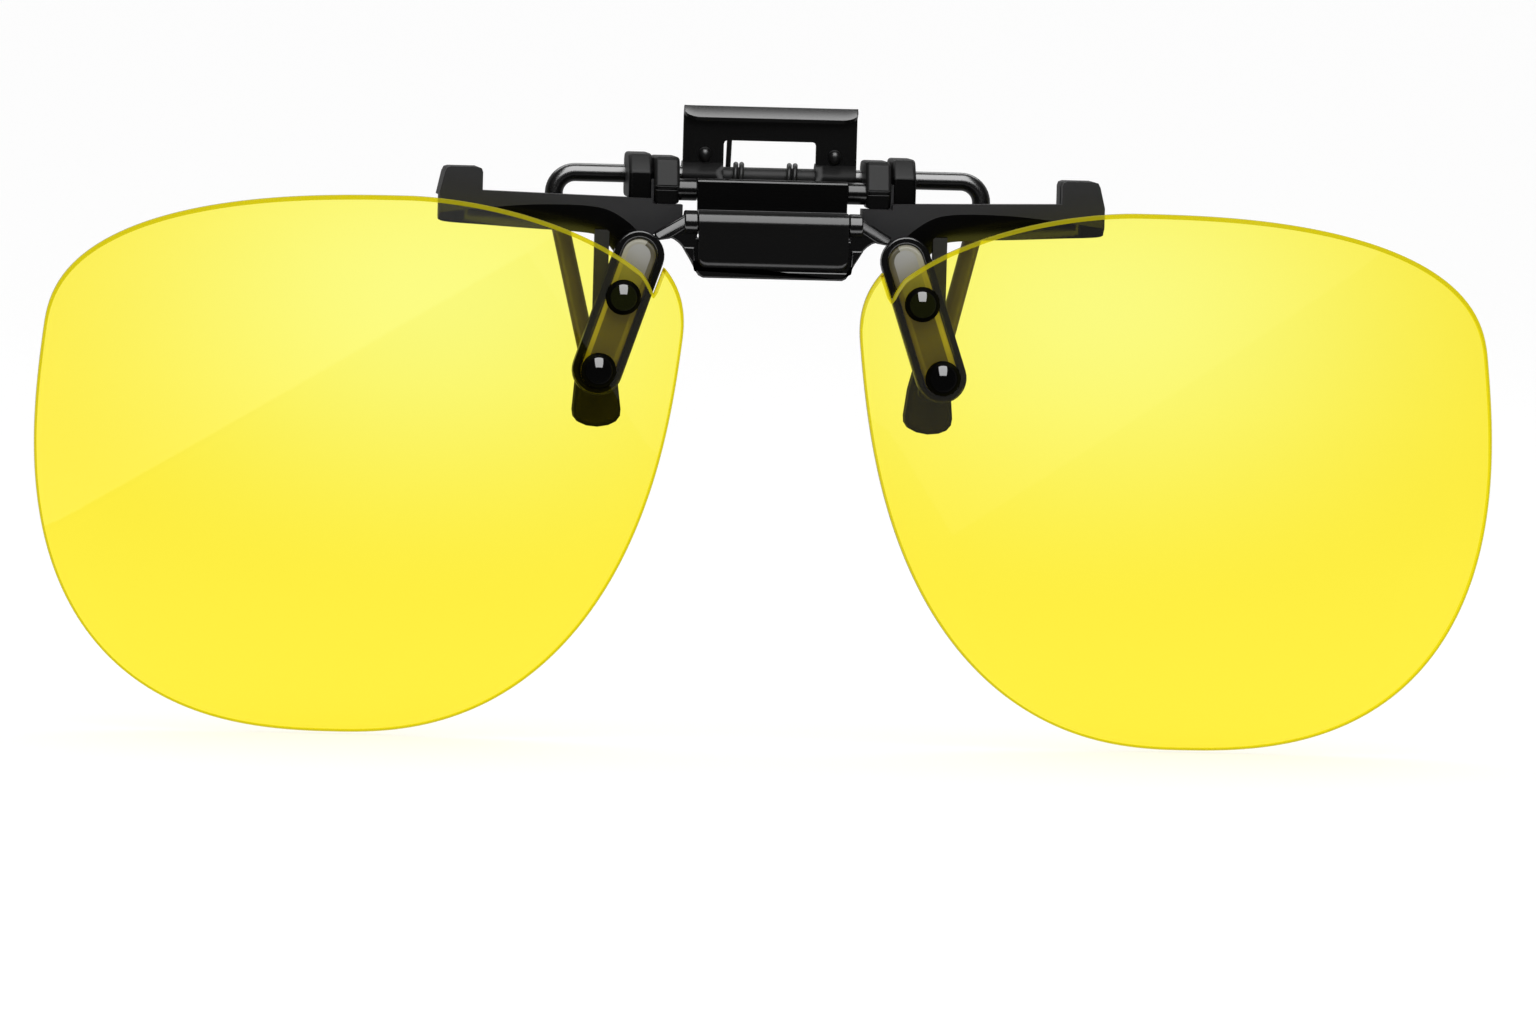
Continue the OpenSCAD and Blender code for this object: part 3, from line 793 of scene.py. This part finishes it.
def lens_outline():
    """Front-view outline, with the notch that the arm's neck comes through."""
    rim, horn = oval(1.8), oval(2.45)
    a, b, c = (Vector(p) for p in NOTCH)
    curve = [(1 - t) ** 2 * a + 2 * t * (1 - t) * b + t * t * c
             for t in (i / 40 for i in range(41))]
    back = [Vector(p) for p in NOTCH_BACK]
    notch = curve + back
    first = next(i for i, p in enumerate(rim) if even_odd(p, notch))
    last = max(i for i, p in enumerate(horn) if even_odd(p, notch))
    kept = [p for p in curve if even_odd(p, rim)]
    # Up the notch's second side to where it meets the outline again
    side = [kept[-1].lerp(back[0], t / 16) for t in range(1, 16)]
    side = [p for p in side if even_odd(p, horn)]
    return rim[:first] + kept + side + horn[last + 1:]


def inset(outline, by):
    """The outline moved inwards, by one distance or by one for each way it can face."""
    moved = []
    for i, p in enumerate(outline):
        a, b = outline[i - 1], outline[(i + 1) % len(outline)]
        u, v = (p - a).normalized(), (b - p).normalized()
        n = Vector((-(u.y + v.y), u.x + v.x)).normalized()
        moved.append(p + n * (by(n) if callable(by) else by))
    return moved


def lens(side):
    base = (sum(p[0] for p in RIVETS.values()) / 2, sum(p[1] for p in RIVETS.values()) / 2)
    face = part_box("right_lens")[0].y / MM
    edge = lens_outline()

    def surface(p, back):
        off2 = (p[0] - base[0]) ** 2 + (p[1] - base[1]) ** 2
        return at(p[0], face + LENS_R - math.sqrt((LENS_R - back) ** 2 - off2), p[1])

    # The polished edge is widest along the top
    rim = inset(edge, lambda n: SIDE_EDGE + (TOP_EDGE - SIDE_EDGE) * max(0, -n.y) ** 0.7)
    step = 1.5
    well_in = inset(edge, 1)
    grid = [Vector((LENS_MID[0] + step * (i + 0.5 * (j % 2)), LENS_MID[1] + step * 0.87 * j))
            for i in range(-24, 26) for j in range(-32, 14)]
    grid = [p for p in grid if even_odd(p, well_in)]
    flat, _, faces, *_ = delaunay_2d_cdt(
        rim + grid, [], [list(range(len(rim)))], 1, 1e-6)
    bm = bmesh.new()
    front = [bm.verts.new(surface(p, 0)) for p in flat]
    back = [bm.verts.new(surface(p, LENS_T)) for p in flat]
    for f in faces:
        bm.faces.new([front[i] for i in f])
        bm.faces.new([back[i] for i in f[::-1]])
    n = len(rim)
    rings = [front[:n]]
    for by, depth in ((0.08, 0.05), (0, 0.2), (0, LENS_T - 0.2), (0.08, LENS_T - 0.05)):
        rings.append([bm.verts.new(surface(p, depth)) for p in inset(edge, by)])
    rings.append(back[:n])
    for p, q in zip(rings, rings[1:]):
        for i in range(n):
            j = (i + 1) % n
            bm.faces.new((p[i], p[j], q[j], q[i])).material_index = 1
    bmesh.ops.recalc_face_normals(bm, faces=bm.faces)
    obj = finish_mesh(f"{side}_lens_moulded", bm, 8)
    wear(obj, lens_yellow[side], lens_edge)
    return obj


place(bridge(), FLIP, "bridge", "bridge_black")
both("lens_arm", lens_arm, FLIP, "bridge_black")
place(cover_sleeve(), FLIP, "cover_sleeve", "plate_black")
both("upper_rivet", rivet("upper", rivet_lens_haze), FLIP, "rivet_black")
both("lower_rivet", rivet("lower", rivet_black), FLIP, "rivet_black")
both("lens", lens, FLIP, "yellow_lens")

# The plain pieces are shown as the CAD has them
for node, material in {
    "core_shaft": wire_matt_and_shade, "cross_pin": wire_matt_and_shade, "detent_leaf": leaf_steel,
    "left_washers": washer, "right_washers": washer,
}.items():
    obj = frame["nodes"][node]
    obj.data.materials.clear()
    wear(obj, material)


# ---- Stage ----

lenses, solids, matt = (bpy.data.collections.new(n) for n in ("lenses", "all but lenses", "matt"))
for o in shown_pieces():
    if o.name.endswith("lens_moulded"):
        lenses.objects.link(o)
    else:
        solids.objects.link(o)
        if "_rivet" not in o.name:
            matt.objects.link(o)


def softbox(name, low_edge, size, power, across, away, only):
    """A soft light seen in reflections alone, by the objects of one collection. Its lower edge
    has its middle at low_edge, in mm, and runs across; away points out behind the light."""
    light = bpy.data.lights.new(name, "AREA")
    light.shape, light.size, light.size_y = "RECTANGLE", size[0] * MM, size[1] * MM
    light.energy = power
    obj = bpy.data.objects.new(name, light)
    bpy.context.scene.collection.objects.link(obj)
    z = Vector(away).normalized()
    x = Vector(across)
    x = (x - z * x.dot(z)).normalized()
    y = z.cross(x)
    turn = Matrix((x, y, z)).transposed().to_4x4()
    turn.translation = Vector(low_edge) * MM + y * size[1] * MM / 2
    obj.matrix_world = turn
    obj.visible_camera = obj.visible_diffuse = obj.visible_shadow = False
    obj.light_linking.receiver_collection = only


def lens_light(name, start, end, deep, power, far=1500):
    """Light seen in the lenses, above a slanting line far in front; places are (across, up)."""
    run = Vector((end[0] - start[0], 0, end[1] - start[1]))
    middle = ((start[0] + end[0]) / 2, -far, (start[1] + end[1]) / 2)
    softbox(name, middle, (run.length, deep), power, run, (0, -1, 0), lenses)


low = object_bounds()[0]
bpy.ops.mesh.primitive_plane_add(size=12, location=(0, 4, low.z - 0.2 * MM))
floor = bpy.context.object
floor.name = "floor"
paper = bpy.data.materials.new("pale paper")
paper.use_nodes = True
shader = paper.node_tree.nodes["Principled BSDF"]
shader.inputs["Base Color"].default_value = (0.36, 0.36, 0.36, 1)
shader.inputs["Emission Color"].default_value = (1, 1, 1, 1)
shader.inputs["Emission Strength"].default_value = 0.605
shader.inputs["Roughness"].default_value = 0.7
shader.inputs["Specular IOR Level"].default_value = 0.2
floor.data.materials.append(paper)
floor.visible_glossy = False
solids.objects.link(floor)

# The studio is white all round, but reflections see it dark on the camera's side
world = bpy.data.worlds.new("studio")
bpy.context.scene.world = world
world.use_nodes = True
nodes, links = world.node_tree.nodes, world.node_tree.links
back = nodes["Background"]
back.inputs["Color"].default_value = (1, 1, 1, 1)
back.inputs["Strength"].default_value = 1.1
dark = nodes.new("ShaderNodeBackground")
where = nodes.new("ShaderNodeTexCoord")
split = nodes.new("ShaderNodeSeparateXYZ")
ramp = nodes.new("ShaderNodeValToRGB")
for stop, position, grey in zip(ramp.color_ramp.elements, (0.45, 0.75), (0.03, 0.35)):
    stop.position, stop.color = position, (grey, grey, grey, 1)
shift = nodes.new("ShaderNodeMapRange")
shift.inputs["From Min"].default_value = -1
links.new(where.outputs["Generated"], split.inputs["Vector"])
links.new(split.outputs["Y"], shift.inputs["Value"])
links.new(shift.outputs["Result"], ramp.inputs["Fac"])
links.new(ramp.outputs["Color"], dark.inputs["Color"])
ray = nodes.new("ShaderNodeLightPath")
pick = nodes.new("ShaderNodeMixShader")
links.new(ray.outputs["Is Glossy Ray"], pick.inputs["Fac"])
links.new(back.outputs["Background"], pick.inputs[1])
links.new(dark.outputs["Background"], pick.inputs[2])
links.new(pick.outputs["Shader"], nodes["World Output"].inputs["Surface"])

bpy.context.scene.view_settings.view_transform = "Standard"

# Camera: square to the object but for a few degrees, far off, through a long lens. In mm: how
# far it is from the flip hinge, the width it sees there, and what it aims at
YAW, PITCH, ROLL = (math.radians(a) for a in (4.87, 1.54, 1.56))
AWAY, VIEW_WIDTH, SENSOR = 1559, 139.156, 36
AIM_RIGHT, AIM_UP = -0.2174, -29.0723
ahead = Vector((math.sin(YAW) * math.cos(PITCH), math.cos(YAW) * math.cos(PITCH),
                -math.sin(PITCH)))
right = Vector((math.cos(YAW), -math.sin(YAW), 0))
up = right.cross(ahead)
right, up = (right * math.cos(ROLL) + up * math.sin(ROLL),
             up * math.cos(ROLL) - right * math.sin(ROLL))
camera_data = bpy.data.cameras.new("camera")
camera_data.sensor_width = SENSOR
camera_data.lens = SENSOR * AWAY / VIEW_WIDTH
camera_data.clip_start, camera_data.clip_end = 0.05, 50
camera = bpy.data.objects.new("camera", camera_data)
bpy.context.scene.collection.objects.link(camera)
look = (ahead * AWAY + right * AIM_RIGHT + up * AIM_UP).normalized()
across = look.cross(up).normalized()
turn = Matrix((across, across.cross(look), -look)).transposed().to_4x4()
turn.translation = at(0, 0, 0) - ahead * AWAY * MM
camera.matrix_world = turn
bpy.context.scene.camera = camera

softbox("overhead", (0, -1160, 420), (900, 1400), 38, (1, 0, 0), (0, -0.75, 0.9), solids)
softbox("back top", (0, 500, 900), (1400, 400), 6, (1, 0, 0), (0, 0.6, 0.9), solids)
softbox("paper sheen", (0, -40, low.z / MM + 1), (1000, 40), 0.5, (1, 0, 0), (0, 0, -1), matt)
lens_light("left lens", (-640, -387), (66, 46), 500, 1.5)
lens_light("right lens", (180, -214), (750, 160), 450, 0.5)
